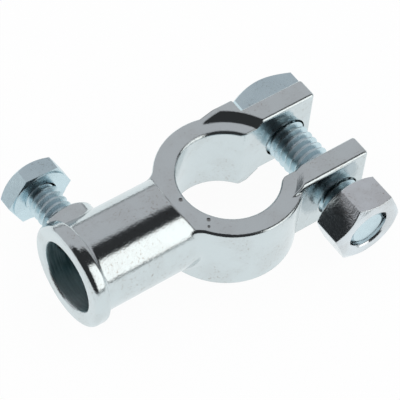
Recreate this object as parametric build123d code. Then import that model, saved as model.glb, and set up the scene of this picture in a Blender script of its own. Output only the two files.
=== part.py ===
from build123d import *
import math
import os

# Battery terminal clamp: a cast split ring for a battery post, with a cable
# barrel on one side and two ears on the other.  A square-head bolt and a hex
# nut draw the ears together, and a hex screw in the barrel's boss holds the
# cable.
#
# Millimetres.  Origin on the axis of the post bore, at the height of the
# ring's flat top.  +Z up along the post, +X towards the ears, +Y towards the
# bolt's head.

seam_turn = 20                  # degrees that the seam of a round face is turned
on_base = (Align.CENTER, Align.CENTER, Align.MIN)
from_x = (Align.MIN, Align.CENTER, Align.CENTER)

# ---------------------------------------------------------------- ring
post_r = 9.3                    # bore for the battery post
post_chamfer_top = 0.35
post_chamfer_low = 0.40
ring_wall = 4.0
ring_r = post_r + ring_wall
ring_edge = 0.5                 # rounding of the rims
tall = ring_r                   # height above the flat top that clears the body

# ---------------------------------------------------------------- barrel
cable_r = 6.6                   # bore for the stripped cable
barrel_wall = 1.75
barrel_r = cable_r + barrel_wall
barrel_rise = 3.1               # the barrel's top above the ring's flat top
barrel_z = barrel_rise - barrel_r
barrel_blend = 2.4              # casting radius between barrel and ring
root_end = -(ring_r + barrel_blend + 0.2)
ring_skirt = 0.8                # the ring's underside below the barrel's
ring_low = barrel_z - barrel_r - ring_skirt
cable_mouth = 0.35              # chamfer at the mouth

barrel_reach = 20.4             # from the ring to the mouth
flange_front = -(ring_r + barrel_reach)
wide = 2 * (ring_r + barrel_reach)  # length that clears the body on every side
flange_thick = 2.9
flange_lip = 1.3                # how far the flange stands out
flange_r = barrel_r + flange_lip
flange_edge = 0.9               # rounding at the front of its rim
flange_back = 0.6               # and at the back
cable_root = 0.6                # casting radius of flange and boss

boss_x = flange_front + 5.9     # axis of the cable screw
boss_r = 5.7
boss_rise = 1.05
boss_face = barrel_r + boss_rise    # y of the boss's face
boss_clip = flange_front + 2.2  # the boss ends inside the flange
boss_edge = 0.4                 # chamfer round its face

# ---------------------------------------------------------------- relief
relief_wall_r = ring_r + 0.25   # round wall where the barrel's top ends
relief_r = ring_r - 1.5         # foot of the sloping wall on the ears' side
ramp_x = 2.7                    # far end of that wall runs out in a ramp
ramp_run = 3.8
cable_end = -(ring_r + 1.3)     # x of the blind end of the cable bore

# ---------------------------------------------------------------- ears
gap = 11.1                      # between the ears
ear_thick = 4.35
ear_in = gap / 2
ear_out = ear_in + ear_thick
ear_top = 1.3
ear_root = 2.0                  # x where the ears start, inside the ring
ear_low = ring_low + 1.6
bolt_x = ring_r + 4.5           # axis of the clamp bolt
bolt_z = ear_low + 5.3
ear_end_top = bolt_x + 5.5      # the ends have a casting draft
ear_end_low = bolt_x + 5.95
ear_edge = 0.65
gap_corner = 2.0                # rounding where the gap meets the post bore
shoulder_y = ring_r - 0.65      # shoulder that keeps the bolt's head from turning
shoulder_x = bolt_x - 8.0
shoulder_root = 3.0             # how far the shoulder reaches into the ear
shoulder_edge = 0.45
step_r = ring_r - 2.1           # underside: the ring stands proud of the ears
step_flare = 2.0
step_x = 8.0                    # where the step in the underside starts

# ---------------------------------------------------------------- hardware
bolt_r = 7.94 / 2               # 5/16 in
bolt_hole_gap = 0.33            # between the shank and the hole, on the radius
bolt_hole_r = bolt_r + bolt_hole_gap
head_flats = 12.7               # square head
head_high = 5.35
head_inset = 0.15               # of the round face inside the flats
head_slope = 31.5               # degrees that the corners fall away
bolt_tip = -(ear_out + 8.5)
tip_chamfer = 0.8
shank_lap = 0.5                 # how far each shank reaches into its head

nut_flats = 12.7
nut_thick = 6.75
nut_face = -(ear_out + 2.4)     # y of the face towards the ears
nut_turn = -6.7                 # a corner of the hexagon, degrees from +X
nut_inset = 0.25                # of the round faces inside the flats
nut_slope = 30                  # degrees that the corners fall away
nut_mouth = 0.35                # chamfer at both ends of the thread
thread_gap = 0.05               # running clearance in both threads

screw_r = 6.35 / 2              # 1/4 in
screw_flats = 11.11
screw_head_low = boss_face + 7.35   # y of the washer face
screw_head_high = 3.95
screw_face_r = 4.95             # round face on top of the head
screw_drop = 1.0                # height that the corners fall away
screw_washer_r = 5.45
screw_washer = 0.25             # height of the washer face
screw_tip = cable_r + 0.4
screw_tip_chamfer = 0.6
screw_turn = -2.7               # a corner of the hexagon, degrees from +X


def round_bar(r, length):
    """Cylinder standing on the XY plane, with its seam off the planes of symmetry."""
    return Rot(0, 0, seam_turn) * Cylinder(r, length, align=on_base)


def along_y(x, z, y0, y1, r):
    """Cylinder parallel to Y from y0 to y1."""
    return Pos(x, y0, z) * Rot(-90, 0, 0) * round_bar(r, y1 - y0)


def along_x(x0, x1, r, z=barrel_z):
    """Cylinder parallel to X from x0 to x1."""
    return Pos(x0, 0, z) * Rot(0, 90, 0) * round_bar(r, x1 - x0)


def upright(r, z0, z1):
    """Cylinder on the post's axis from z0 to z1."""
    return Pos(0, 0, z0) * round_bar(r, z1 - z0)


def slab(points, y0, y1):
    """Extrude an outline given in x and z from y0 to y1."""
    face = make_face(Plane.XZ * Polyline(*points, close=True))
    return Pos(0, y0, 0) * extrude(face, y1 - y0, dir=(0, 1, 0))


def edges_near(shape, test):
    """Edges whose middle and both ends pass the test."""
    return shape.edges().filter_by(lambda e: all(test(e @ t) for t in (0.0, 0.5, 1.0)))


def beyond(x):
    """Everything on the +X side of x."""
    return Pos(x, 0, 0) * Box(wide, wide, wide, align=from_x)


def below(z):
    """Everything under the height z."""
    return Pos(0, 0, z) * Box(2 * wide, wide, wide, align=(Align.CENTER, Align.CENTER, Align.MAX))


# ---------------------------------------------------------------- clamp body


def ring_and_root():
    """Ring with the barrel's root and the casting radius between them.

    The casting radius is rolled along the whole meeting line of a tall ring
    and the barrel, and both are then cut off level with the ring's top and
    underside, so that the flats' rims run smoothly into the barrel's flanks.
    """
    body = upright(ring_r, ring_low - tall / 2, tall) + along_x(root_end, 0, barrel_r)
    seam = body.edges().filter_by(
        lambda e: -ring_r - 0.01 < (e @ 0.5).X < -0.5 * ring_r
        and abs(math.hypot((e @ 0.5).X, (e @ 0.5).Y) - ring_r) < 0.01
        and on_cylinder(e @ 0.5, barrel_r))
    body = fillet(seam, barrel_blend)
    body -= below(ring_low)
    body &= below(0)
    body = fillet(level_edges(body, 0), ring_edge)
    return chamfer(level_edges(body, ring_low), ring_edge)


def level_edges(body, z):
    """Outline of the flat at the height z, apart from the barrel's cut end."""
    return body.edges().filter_by(
        lambda e: all(abs((e @ t).Z - z) < 1e-3 for t in (0, 0.25, 0.5, 0.75, 1))
        and (e @ 0.5).X > root_end + 1e-3)


def ear(side):
    """One ear; side is +1 for the bolt's head and -1 for the nut."""
    y0, y1 = sorted((side * ear_in, side * ear_out))
    block = slab([(ear_root, ear_top), (ear_end_top, ear_top),
                  (ear_end_low, ear_low), (ear_root, ear_low)], y0, y1)
    free = block.edges().filter_by(
        lambda e: (e @ 0.5).X > ear_root + 0.01 and (e @ 0.5).Z > ear_low + 1e-3)
    block = fillet(free, ear_edge)
    under = block.edges().filter_by(
        lambda e: (e @ 0.5).X > ear_root + 0.01 and abs((e @ 0.5).Z - ear_low) < 1e-3)
    return chamfer(under, ear_edge * 0.6)


def shoulder():
    """Wall beside the square head, tangent to the ring."""
    z = (ear_top + ear_low) / 2
    inner = ear_out - shoulder_root
    box = Pos((ramp_x + shoulder_x) / 2, (inner + shoulder_y) / 2, z) * Box(
        shoulder_x - ramp_x, shoulder_y - inner, ear_top - ear_low)
    free = box.edges().filter_by(
        lambda e: (e @ 0.5).X > shoulder_x - 0.01 and (e @ 0.5).Y > inner + 0.01
        or (e @ 0.5).Y > shoulder_y - 0.01 and (e @ 0.5).X > ramp_x + 0.01)
    return fillet(free, shoulder_edge)


def barrel():
    """Barrel with its flange and boss, less what the ring's counterbore takes."""
    tube = along_x(boss_x - 2 * boss_r, 0, barrel_r)
    body = tube + along_y(boss_x, barrel_z, 0, boss_face, boss_r)
    seam = body.edges().filter_by(lambda e: all(
        on_cylinder(e @ t, barrel_r) and 0 < (e @ t).Y < boss_face - 0.1
        for t in (0.1, 0.4, 0.6, 0.9)) and abs((e @ 0.3).X - boss_x) < boss_r)
    body = fillet(seam, cable_root)
    face = edges_near(body, lambda p: abs(p.Y - boss_face) < 1e-3)
    body = chamfer(face, boss_edge)
    body &= beyond(boss_clip)
    return body + flange() - upright(relief_wall_r, 0, tall)


def on_cylinder(p, r):
    """Whether a point is on a cylinder round the barrel's axis."""
    return abs(math.hypot(p.Y, p.Z - barrel_z) - r) < 1e-2


def quarter(x, y, r, start, turn, steps):
    """Points of a quarter circle round (x, y); start and turn in degrees."""
    angles = [math.radians(start + turn * i / steps) for i in range(steps + 1)]
    return [(x + r * math.cos(a), y + r * math.sin(a)) for a in angles]


def flange():
    """Flange at the barrel's mouth, turned about the barrel's axis."""
    outline = [(0, 0)]
    outline += quarter(flange_r - flange_edge, flange_edge, flange_edge, -90, 90, 4)
    outline += quarter(flange_r - flange_back, flange_thick - flange_back, flange_back, 0, 90, 3)
    outline += quarter(barrel_r + cable_root, flange_thick + cable_root, cable_root, -90, -90, 2)
    outline += [(0, flange_thick + cable_root)]
    disc = revolve(make_face(Plane.XZ * Polyline(*outline, close=True)), Axis.Z)
    return Pos(flange_front, 0, barrel_z) * Rot(0, 90, 0) * Rot(0, 0, seam_turn) * disc


def curved_relief():
    """What is taken off above the ring on the ears' side."""
    level = slab([(0, tall), (0, 0), (ramp_x, 0),
                  (ramp_x + ramp_run * tall / ear_top, tall)], -wide / 2, wide / 2)
    cone = Cone(relief_r, relief_r + tall, tall, align=on_base)
    return level + (cone & beyond(0))


def undercut():
    """What is taken away below the ears, so that the ring stands proud."""
    depth = ear_low - ring_low
    kept = Cone(step_r, step_r + step_flare, depth, align=on_base)
    taken = Pos(0, 0, ring_low) * (Cylinder(wide, depth, align=on_base) - kept)
    return taken & Pos(step_x, 0, 0) * Box(wide, 2 * ear_out, wide, align=from_x)


def make_clamp_body():
    """The whole casting: split ring, ears, barrel, flange and boss."""
    body = ring_and_root()
    body += ear(1) + ear(-1) + shoulder()
    body -= curved_relief()
    body -= undercut()
    body += barrel()

    # bores
    body -= along_x(flange_front - 1, cable_end, cable_r)
    body -= along_y(boss_x, barrel_z, 0, wide / 2, screw_r + thread_gap)
    body -= along_y(bolt_x, bolt_z, -wide / 2, wide / 2, bolt_hole_r)
    body -= upright(post_r, -wide / 2, tall)
    body -= Box(wide, gap, wide, align=from_x)
    corner = body.edges().filter_by(lambda e: e.geom_type == GeomType.LINE and all(
        abs(math.hypot((e @ t).X, (e @ t).Y) - post_r) < 1e-3 and (e @ t).X > 0 and
        abs(abs((e @ t).Y) - ear_in) < 1e-3 for t in (0, 0.5, 1)))
    body = fillet(corner, gap_corner)

    # chamfers at the mouths of the bores
    top, low = post_chamfer_top, post_chamfer_low
    body -= Pos(0, 0, -top) * Cone(post_r, post_r + 3 * top, 3 * top, align=on_base)
    body -= Pos(0, 0, ring_low - 2 * low) * Cone(post_r + 3 * low, post_r, 3 * low, align=on_base)
    mouth = body.edges().filter_by(
        lambda e: e.geom_type == GeomType.CIRCLE and abs(e.radius - cable_r) < 1e-3
        and abs((e @ 0.5).X - flange_front) < 1e-3)
    return chamfer(mouth, cable_mouth)


# ---------------------------------------------------------------- hardware
def hexagon(flats, turn):
    """Hexagon across flats, with a corner turned from +X."""
    return RegularPolygon(flats / math.sqrt(3), 6, major_radius=True, rotation=turn)


def domed(face_r, corner_r, drop, height, both=False):
    """Turned blank with a flat face and a cone round it that falls by drop at corner_r."""
    run_on = 1.2                # the cone runs on past the corners
    rim_r = face_r + run_on * (corner_r - face_r)
    fall = run_on * drop
    outline = [(0, 0), (face_r, 0), (rim_r, fall)] if both else [(0, 0), (rim_r, 0)]
    outline += [(rim_r, height - fall), (face_r, height), (0, height)]
    return revolve(make_face(Plane.XZ * Polyline(*outline, close=True)), Axis.Z)


def towards_head(x, y, z):
    """Place where local +Z is +Y, local +X stays +X and local +Y is -Z."""
    return Pos(x, y, z) * Rot(-90, 0, 0)


def shank(x, z, tip_y, seat_y, r, tip_edge):
    """Bolt's shank on its major diameter, from its chamfered tip into the head."""
    bar = along_y(x, z, tip_y, seat_y + shank_lap, r)
    tip = edges_near(bar, lambda p: abs(p.Y - tip_y) < 1e-3)
    return chamfer(tip, tip_edge)


def make_clamp_bolt():
    """Square-head bolt across the ears."""
    corner_r = head_flats / math.sqrt(2)
    face_r = head_flats / 2 - head_inset
    drop = (corner_r - face_r) * math.tan(math.radians(head_slope))
    head = extrude(Rectangle(head_flats, head_flats), head_high)
    head &= domed(face_r, corner_r, drop, head_high)
    return (towards_head(bolt_x, ear_out, bolt_z) * head
            + shank(bolt_x, bolt_z, bolt_tip, ear_out, bolt_r, tip_chamfer))


def make_clamp_nut():
    """Hex nut, chamfered on both faces."""
    corner_r = nut_flats / math.sqrt(3)
    face_r = nut_flats / 2 - nut_inset
    drop = (corner_r - face_r) * math.tan(math.radians(nut_slope))
    hole_r = bolt_r + thread_gap
    nut = extrude(hexagon(nut_flats, -nut_turn), nut_thick)
    nut &= domed(face_r, corner_r, drop, nut_thick, both=True)
    nut -= Cylinder(hole_r, 3 * nut_thick)
    mouths = nut.edges().filter_by(
        lambda e: e.geom_type == GeomType.CIRCLE and abs(e.radius - hole_r) < 1e-3)
    nut = chamfer(mouths, nut_mouth)
    return towards_head(bolt_x, nut_face - nut_thick, bolt_z) * nut


def make_cable_screw():
    """Hex-head screw in the boss, with a washer face under its head."""
    corner_r = screw_flats / math.sqrt(3)
    hex_high = screw_head_high - screw_washer
    head = extrude(hexagon(screw_flats, -screw_turn), hex_high)
    head &= domed(screw_face_r, corner_r, screw_drop, hex_high)
    head = Pos(0, 0, screw_washer) * head + Cylinder(screw_washer_r, screw_washer, align=on_base)
    return (towards_head(boss_x, screw_head_low, barrel_z) * head
            + shank(boss_x, barrel_z, screw_tip, screw_head_low, screw_r, screw_tip_chamfer))


def main():
    os.makedirs("parts", exist_ok=True)
    parts = {
        "clamp_body": make_clamp_body(),
        "clamp_bolt": make_clamp_bolt(),
        "clamp_nut": make_clamp_nut(),
        "cable_screw": make_cable_screw(),
    }
    for name, part in parts.items():
        export_step(part, f"parts/{name}.step")


main()
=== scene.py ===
# Battery terminal clamp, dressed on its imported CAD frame.
import math

import bmesh
import bpy
from mathutils import Matrix, Vector


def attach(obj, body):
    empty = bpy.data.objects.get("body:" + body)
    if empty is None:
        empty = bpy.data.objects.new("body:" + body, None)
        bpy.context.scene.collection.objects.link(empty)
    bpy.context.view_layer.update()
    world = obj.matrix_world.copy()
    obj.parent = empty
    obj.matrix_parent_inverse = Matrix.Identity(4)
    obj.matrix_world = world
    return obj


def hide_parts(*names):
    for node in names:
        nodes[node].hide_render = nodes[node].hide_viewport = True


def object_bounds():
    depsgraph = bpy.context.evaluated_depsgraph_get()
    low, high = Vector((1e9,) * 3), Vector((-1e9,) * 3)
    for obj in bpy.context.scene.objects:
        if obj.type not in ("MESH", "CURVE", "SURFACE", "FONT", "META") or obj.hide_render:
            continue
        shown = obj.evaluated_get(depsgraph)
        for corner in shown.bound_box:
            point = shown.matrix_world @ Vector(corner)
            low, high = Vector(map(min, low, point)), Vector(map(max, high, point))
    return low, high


MM = 0.001
TAU = 2 * math.pi
WHITE = (1.0, 1.0, 1.0)
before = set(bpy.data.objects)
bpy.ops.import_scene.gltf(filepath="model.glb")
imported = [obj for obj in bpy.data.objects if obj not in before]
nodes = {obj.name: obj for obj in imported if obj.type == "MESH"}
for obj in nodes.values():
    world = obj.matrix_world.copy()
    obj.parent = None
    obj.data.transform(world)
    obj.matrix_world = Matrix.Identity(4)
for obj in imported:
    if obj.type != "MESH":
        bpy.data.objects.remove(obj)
cad_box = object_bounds()

# sizes shared with the CAD, in mm; both screws lie along Y, from tip to the head's seat
BOLT = dict(x=17.8, z=-7.5, r=3.97, tip=-18.4, seat=9.9, chamfer=0.8, pitch=25.4 / 18, depth=0.80)
SCREW = dict(x=-27.8, z=-5.25, r=3.175, tip=7.0, seat=16.75, chamfer=0.6, pitch=25.4 / 20, depth=0.70)
BARREL_Z = -5.25
CABLE_R = 6.6
BORE_LIMIT_X = -14.0

# the thread's flats, as shares of its pitch; its two flanks take the rest
CREST = 0.13
ROOT = 0.22
FLANK = (1 - CREST - ROOT) / 2
ROOT_START = CREST + FLANK
ROOT_END = ROOT_START + ROOT
# rings that the grid has on the flanks, as shares of the pitch, and its steps around a turn
FLANK_RINGS = (0.22, 0.31, 0.40, 0.73, 0.81, 0.90)
TURN_STEPS = 72
SHARP_ANGLE = math.radians(28)
WELD = 2e-6

# patterns of the plating, in waves per metre
MOTTLE, RIPPLE, GRIT, GRAIN = 170.0, 900.0, 2100.0, 3200.0
BORE_STREAKS = (2600.0, 240.0, 240.0)
BORE_DULL = 0.55

# painted shade inside the pits
PIT_PAINTED_SHADE = (0.10, 0.09, 0.08)
# teal streaks inside the cable bore, and the painted shade laid over them
DEEP_TEAL = (0.38, 0.55, 0.58)
PALE_TEAL = (0.80, 0.95, 0.98)
BORE_SHADE = (0.10, 0.16, 0.17)


# ------------------------------------------------------------------ nodes
class Mat:
    """A small helper that writes node trees."""

    def __init__(self, tree):
        self.n = tree.nodes
        self.link = tree.links.new

    def add(self, kind, **values):
        node = self.n.new(kind)
        for key, value in values.items():
            if hasattr(node, key):
                setattr(node, key, value)
            else:
                node.inputs[key].default_value = value
        return node

    def feed(self, value, socket):
        """Link an output to the socket, or set the socket to a number or a colour."""
        if isinstance(value, (int, float)):
            socket.default_value = value
        elif isinstance(value, tuple):
            socket.default_value = (*value, 1)
        else:
            self.link(value, socket)

    def math(self, op, a, b=0.0):
        node = self.add("ShaderNodeMath", operation=op)
        self.feed(a, node.inputs[0])
        self.feed(b, node.inputs[1])
        return node.outputs[0]

    def mix(self, fac, a, b):
        node = self.add("ShaderNodeMix", data_type="RGBA")
        self.feed(fac, node.inputs[0])
        self.feed(a, node.inputs[6])
        self.feed(b, node.inputs[7])
        return node.outputs[2]

    def step(self, value, lo, hi):
        """Smooth 0..1 as value goes from lo to hi."""
        node = self.add("ShaderNodeMapRange", interpolation_type="SMOOTHSTEP")
        self.feed(value, node.inputs[0])
        self.feed(lo, node.inputs[1])
        self.feed(hi, node.inputs[2])
        return node.outputs[0]

    def spread(self, value, lo, hi):
        """Straight lo..hi as value goes from 0 to 1."""
        node = self.add("ShaderNodeMapRange")
        self.feed(value, node.inputs[0])
        self.feed(lo, node.inputs[3])
        self.feed(hi, node.inputs[4])
        return node.outputs[0]

    def noise(self, vector, scale, detail, rough=0.6):
        node = self.add("ShaderNodeTexNoise", Scale=scale, Detail=detail, Roughness=rough)
        self.link(vector, node.inputs["Vector"])
        return node.outputs[0]

    def bump(self, height, strength, tall, normal=None):
        """A normal bent by a height that is `tall` mm at its full value."""
        node = self.add("ShaderNodeBump", Strength=strength, Distance=tall * MM)
        self.link(height, node.inputs["Height"])
        if normal is not None:
            self.link(normal, node.inputs["Normal"])
        return node.outputs[0]

    def spots(self, vector, places):
        """1 at each place in mm, falling to 0 at its size from it; None without places."""
        mask = None
        for place, size in places:
            off = self.add("ShaderNodeVectorMath", operation="DISTANCE")
            self.link(vector, off.inputs[0])
            off.inputs[1].default_value = [MM * v for v in place]
            one = self.step(off.outputs["Value"], size * MM, 0.35 * size * MM)
            mask = one if mask is None else self.math("MAXIMUM", mask, one)
        return mask


# ------------------------------------------------------------------ plating
def bore_plating_and_painted_light(m, obj, col, roughness):
    """Inside the cable bore the plating is dull, streaked and teal, under painted shade, with a
    painted highlight along the lowest stretch.
    """
    sep = m.add("ShaderNodeSeparateXYZ")
    m.link(obj, sep.inputs[0])
    x, y, z = sep.outputs
    up = m.math("SUBTRACT", z, BARREL_Z * MM)
    across = m.math("ADD", m.math("POWER", y, 2.0), m.math("POWER", up, 2.0))
    near = m.math("LESS_THAN", m.math("SQRT", across), (CABLE_R + 0.04) * MM)
    inside = m.math("MULTIPLY", near, m.math("LESS_THAN", x, BORE_LIMIT_X * MM))

    rings = m.add("ShaderNodeMapping", Scale=BORE_STREAKS)
    m.link(obj, rings.inputs["Vector"])
    streak = m.step(m.noise(rings.outputs[0], 1.0, 3.0), 0.35, 0.70)
    teal = m.mix(streak, DEEP_TEAL, PALE_TEAL)
    # painted shade, apart from the lowest stretch, which has a painted highlight where it catches the
    # light
    shaded = m.mix(0.30, teal, BORE_SHADE)
    bright = m.mix(0.6, teal, WHITE)
    lowest = m.step(up, -0.70 * CABLE_R * MM, -0.97 * CABLE_R * MM)

    dull = m.add("ShaderNodeMix")
    m.feed(inside, dull.inputs[0])
    m.feed(roughness, dull.inputs[2])
    m.feed(BORE_DULL, dull.inputs[3])
    return m.mix(inside, col, m.mix(lowest, shaded, bright)), dull.outputs[0]


def zinc(name, colour, dark, rough=0.10, blotch=0.35, ragged=0.10, specks=0.5, soft_edge=0.0,
         pits=(), bore=False):
    """Bright zinc plating: metal with a faint mottle, brownish specks and a ragged gloss."""
    mat = bpy.data.materials.new(name)
    mat.use_nodes = True
    m = Mat(mat.node_tree)
    shader = m.n["Principled BSDF"]
    shader.inputs["Metallic"].default_value = 1.0
    obj = m.add("ShaderNodeTexCoord").outputs["Object"]

    mottle = m.noise(obj, MOTTLE, 4.0)
    ripple = m.noise(obj, RIPPLE, 4.0, 0.65)
    grit = m.noise(obj, GRIT, 3.0, 0.7)
    grain = m.noise(obj, GRAIN, 2.0)
    hollow = m.spots(obj, pits)

    col = m.mix(m.math("MULTIPLY", m.step(mottle, 0.38, 0.66), blotch), colour, dark)
    # the specks are thicker in some patches than in others
    brown = tuple(c * k for c, k in zip(dark, (0.62, 0.52, 0.45)))
    patch = m.math("MULTIPLY", m.step(mottle, 0.42, 0.62), specks)
    col = m.mix(m.math("MULTIPLY", m.step(grit, 0.58, 0.68), patch), col, brown)
    if hollow is not None:
        # painted shade darkens the pits
        col = m.mix(m.math("MULTIPLY", hollow, 0.75), col, PIT_PAINTED_SHADE)
    roughness = m.spread(ripple, rough * 0.7, rough * 1.5)
    # inside the cable bore the plating gets painted shade and a painted highlight
    if bore:
        col, roughness = bore_plating_and_painted_light(m, obj, col, roughness)
    m.link(col, shader.inputs["Base Color"])
    m.link(roughness, shader.inputs["Roughness"])

    normal = None
    if soft_edge:
        normal = m.add("ShaderNodeBevel", samples=8, Radius=soft_edge * MM).outputs[0]
    normal = m.bump(grain, ragged, 0.12, normal)
    normal = m.bump(ripple, ragged * 0.16, 0.4, normal)
    normal = m.bump(mottle, 0.05, 1.0, normal)
    if hollow is not None:
        normal = m.bump(m.math("SUBTRACT", 1.0, hollow), 0.5, 0.2, normal)
    m.link(normal, shader.inputs["Normal"])
    return mat


# place and size in mm of the pits, hollows darkened with painted shade: three on the ring's flat, one
# on the shoulder beside the bolt's head
PITS = [((-10.3, 0.0, 0.0), 0.50), ((-8.7, -6.0, 0.0), 0.50), ((-9.5, -7.2, 0.0), 0.35),
        ((12.2, 13.5, -1.6), 0.40)]
CAST = zinc("cast_zinc", (0.66, 0.715, 0.73), (0.56, 0.58, 0.58), ragged=0.16, specks=0.55,
            soft_edge=0.55, pits=PITS, bore=True)
STEEL = zinc("bolt_zinc", (0.64, 0.77, 0.82), (0.50, 0.62, 0.68), rough=0.26, ragged=0.06)
NUT = zinc("nut_zinc", (0.73, 0.77, 0.80), (0.56, 0.56, 0.56), rough=0.12, blotch=0.5, ragged=0.18,
           specks=0.7, soft_edge=0.25)


def put(obj, mat):
    obj.data.materials.clear()
    obj.data.materials.append(mat)


# ------------------------------------------------------------------ threads
def cut_share(phase):
    """How much of its full depth the thread is cut at a phase of its pitch."""
    u = phase % 1.0
    if u < CREST:
        return 0.0
    if u < ROOT_START:
        return (u - CREST) / FLANK
    if u < ROOT_END:
        return 1.0
    return 1 - (u - ROOT_END) / FLANK


def around(bm, spec, r, turn, y):
    """A vertex at radius r about the screw's axis, `turn` of the way around it."""
    a = TAU * turn
    return bm.verts.new(((spec["x"] + r * math.cos(a)) * MM, y * MM,
                         (spec["z"] - r * math.sin(a)) * MM))


def add_thread(bm, spec, y_end):
    """External screw thread as a sheared grid, so that its crest lines run along the helix."""
    tip, pitch = spec["tip"], spec["pitch"]
    shares = sorted((0.0, CREST, ROOT_START, ROOT_START + ROOT / 2, ROOT_END, *FLANK_RINGS))
    rings = []
    for k in range(-1, math.ceil((y_end - tip) / pitch) + 3):
        for u in shares:
            ring = []
            for i in range(TURN_STEPS + 1):
                turn = i / TURN_STEPS
                y = min(max(tip + (k + u + turn) * pitch, tip), y_end)
                r = spec["r"] - spec["depth"] * cut_share((y - tip) / pitch - turn)
                r = min(r, spec["r"] - max(0.0, spec["chamfer"] - (y - tip)))
                ring.append(around(bm, spec, r, turn, y))
            rings.append(ring)
    for lower, upper in zip(rings, rings[1:]):
        for i in range(TURN_STEPS):
            bm.faces.new((lower[i], lower[i + 1], upper[i + 1], upper[i]))


def threaded(name, node, spec, body, mat):
    """Piece that stands for a CAD screw: its own head, with a cut thread."""
    def on_shank(v):
        off_axis = math.hypot(v.co.x / MM - spec["x"], v.co.z / MM - spec["z"])
        return off_axis < spec["r"] + 0.02 and v.co.y / MM < spec["seat"] + 1e-3

    bm = bmesh.new()
    bm.from_mesh(nodes[node].data)
    bmesh.ops.remove_doubles(bm, verts=bm.verts, dist=WELD)
    shank = [f for f in bm.faces if all(on_shank(v) for v in f.verts)]
    bmesh.ops.delete(bm, geom=shank, context="FACES")
    add_thread(bm, spec, spec["seat"] + 0.02)
    end_r = spec["r"] - spec["chamfer"]
    bm.faces.new([around(bm, spec, end_r, i / TURN_STEPS, spec["tip"]) for i in range(TURN_STEPS)])
    bmesh.ops.remove_doubles(bm, verts=bm.verts, dist=WELD)
    bmesh.ops.dissolve_degenerate(bm, edges=bm.edges, dist=1e-7)
    bmesh.ops.recalc_face_normals(bm, faces=bm.faces)

    mesh = bpy.data.meshes.new(name)
    bm.to_mesh(mesh)
    bm.free()
    # normals stored for the CAD's own corners don't fit the new mesh
    stale = mesh.attributes.get("custom_normal")
    if stale is not None:
        mesh.attributes.remove(stale)
    obj = bpy.data.objects.new(name, mesh)
    bpy.context.collection.objects.link(obj)
    for poly in mesh.polygons:
        poly.use_smooth = True
    put(obj, mat)
    mesh.set_sharp_from_angle(angle=SHARP_ANGLE)
    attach(obj, body)
    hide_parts(node)
    return obj


put(nodes["clamp_body"], CAST)
put(nodes["clamp_nut"], NUT)
bolt = threaded("clamp_bolt_threaded", "clamp_bolt", BOLT, "clamp", STEEL)
screw = threaded("cable_screw_threaded", "cable_screw", SCREW, "screw", STEEL)


# ------------------------------------------------------------------ studio
DARK_ROOM = (0.036, 0.037, 0.039)
GREY_WALL = (0.55, 0.55, 0.57)
BRIGHT_PANEL = (1.45, 1.45, 1.42)
TABLE_EDGE = (0.05, 0.06, 0.07)
TABLE_TOP = (0.93, 0.97, 0.97)
SOFT_LIGHT = (0.92, 0.93, 0.95)
FLOOR_GLOW = (0.95, 0.99, 1.0)
FLOOR_SIZE = 0.55


def studio_world():
    """A grey wall beyond the clamp, a bright panel to its near right and a dark
    room elsewhere, above a pale table.  The camera itself sees plain white."""
    world = bpy.data.worlds.new("studio")
    world.use_nodes = True
    w = Mat(world.node_tree)
    w.n.clear()
    sep = w.add("ShaderNodeSeparateXYZ")
    w.link(w.add("ShaderNodeTexCoord").outputs["Generated"], sep.inputs[0])
    x, y, z = sep.outputs

    slant = w.math("ADD", w.math("MULTIPLY", w.math("MAXIMUM", x, 0.0), 0.6),
                   w.math("MULTIPLY", w.math("MINIMUM", x, 0.0), 0.05))
    wall = w.step(w.math("ADD", y, slant), 0.29, 0.40)
    panel = w.math("MULTIPLY", w.step(y, -0.43, -0.53), w.step(x, 0.20, 0.30))
    room = w.mix(panel, w.mix(wall, DARK_ROOM, GREY_WALL), BRIGHT_PANEL)
    # the table's far edge, lower where the room opens behind the camera
    rise = w.math("ADD", z, w.math("MULTIPLY", w.step(x, -0.35, -0.65), 0.20))
    room = w.mix(w.step(rise, 0.03, 0.11), TABLE_EDGE, room)
    room = w.mix(w.step(rise, -0.01, 0.0), TABLE_TOP, room)

    path = w.add("ShaderNodeLightPath")
    seen = w.mix(path.outputs["Is Diffuse Ray"], room, SOFT_LIGHT)
    seen = w.mix(path.outputs["Is Camera Ray"], seen, WHITE)
    background = w.add("ShaderNodeBackground", Strength=1.0)
    out = w.add("ShaderNodeOutputWorld")
    w.link(seen, background.inputs["Color"])
    w.link(background.outputs[0], out.inputs["Surface"])
    return world


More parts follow.
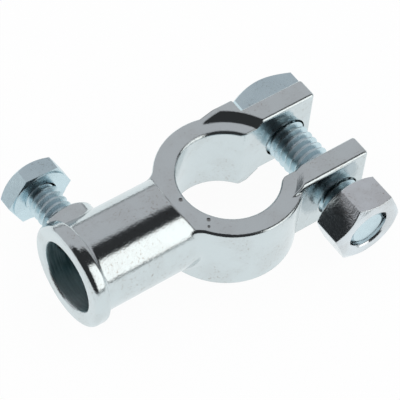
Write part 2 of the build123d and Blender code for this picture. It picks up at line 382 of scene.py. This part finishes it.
def floor_material():
    """White to the camera, a pale glow in the metal, and matt for all other light."""
    mat = bpy.data.materials.new("floor")
    mat.use_nodes = True
    f = Mat(mat.node_tree)
    matt = f.n["Principled BSDF"]
    matt.inputs["Base Color"].default_value = (0.93, 0.93, 0.93, 1)
    matt.inputs["Roughness"].default_value = 0.9
    matt.inputs["Specular IOR Level"].default_value = 0.0
    path = f.add("ShaderNodeLightPath")
    camera = path.outputs["Is Camera Ray"]
    mirrored = f.math("MAXIMUM", path.outputs["Is Glossy Ray"], path.outputs["Is Transmission Ray"])
    glow = f.add("ShaderNodeEmission", Strength=1.0)
    f.link(f.mix(camera, FLOOR_GLOW, WHITE), glow.inputs["Color"])
    both = f.add("ShaderNodeMixShader")
    f.link(f.math("MULTIPLY", f.math("MAXIMUM", camera, mirrored), 0.95), both.inputs[0])
    f.link(matt.outputs[0], both.inputs[1])
    f.link(glow.outputs[0], both.inputs[2])
    f.link(both.outputs[0], f.n["Material Output"].inputs["Surface"])
    return mat


def studio_camera():
    """The camera's place, turn and focal length; angles in degrees, lengths in mm."""
    azimuth, elevation, roll = math.radians(47.81), math.radians(52.92), math.radians(7.91)
    aim, distance = Vector((-7.48, -1.77, 0)), 332.21
    focal_px, image_px, sensor = 1934.94, 400, 36
    forward = Vector((math.cos(azimuth) * math.cos(elevation),
                      math.sin(azimuth) * math.cos(elevation), -math.sin(elevation)))
    level = Vector((math.sin(azimuth), -math.cos(azimuth), 0))
    upright = level.cross(forward)
    right = math.cos(roll) * level + math.sin(roll) * upright
    up = -math.sin(roll) * level + math.cos(roll) * upright
    data = bpy.data.cameras.new("camera")
    data.sensor_width = sensor
    data.sensor_fit = "HORIZONTAL"
    data.lens = sensor * focal_px / image_px
    data.clip_start = 0.01
    camera = bpy.data.objects.new("camera", data)
    turn = Matrix((right, up, -forward)).transposed().to_4x4()
    camera.matrix_world = Matrix.Translation((aim - forward * distance) * MM) @ turn
    return camera


scene = bpy.context.scene
scene.view_settings.view_transform = "Standard"
scene.world = studio_world()

bpy.ops.mesh.primitive_plane_add(size=FLOOR_SIZE, location=(0, 0, cad_box[0][2]))
floor = bpy.context.object
floor.name = "floor"
put(floor, floor_material())

scene.camera = studio_camera()
scene.collection.objects.link(scene.camera)
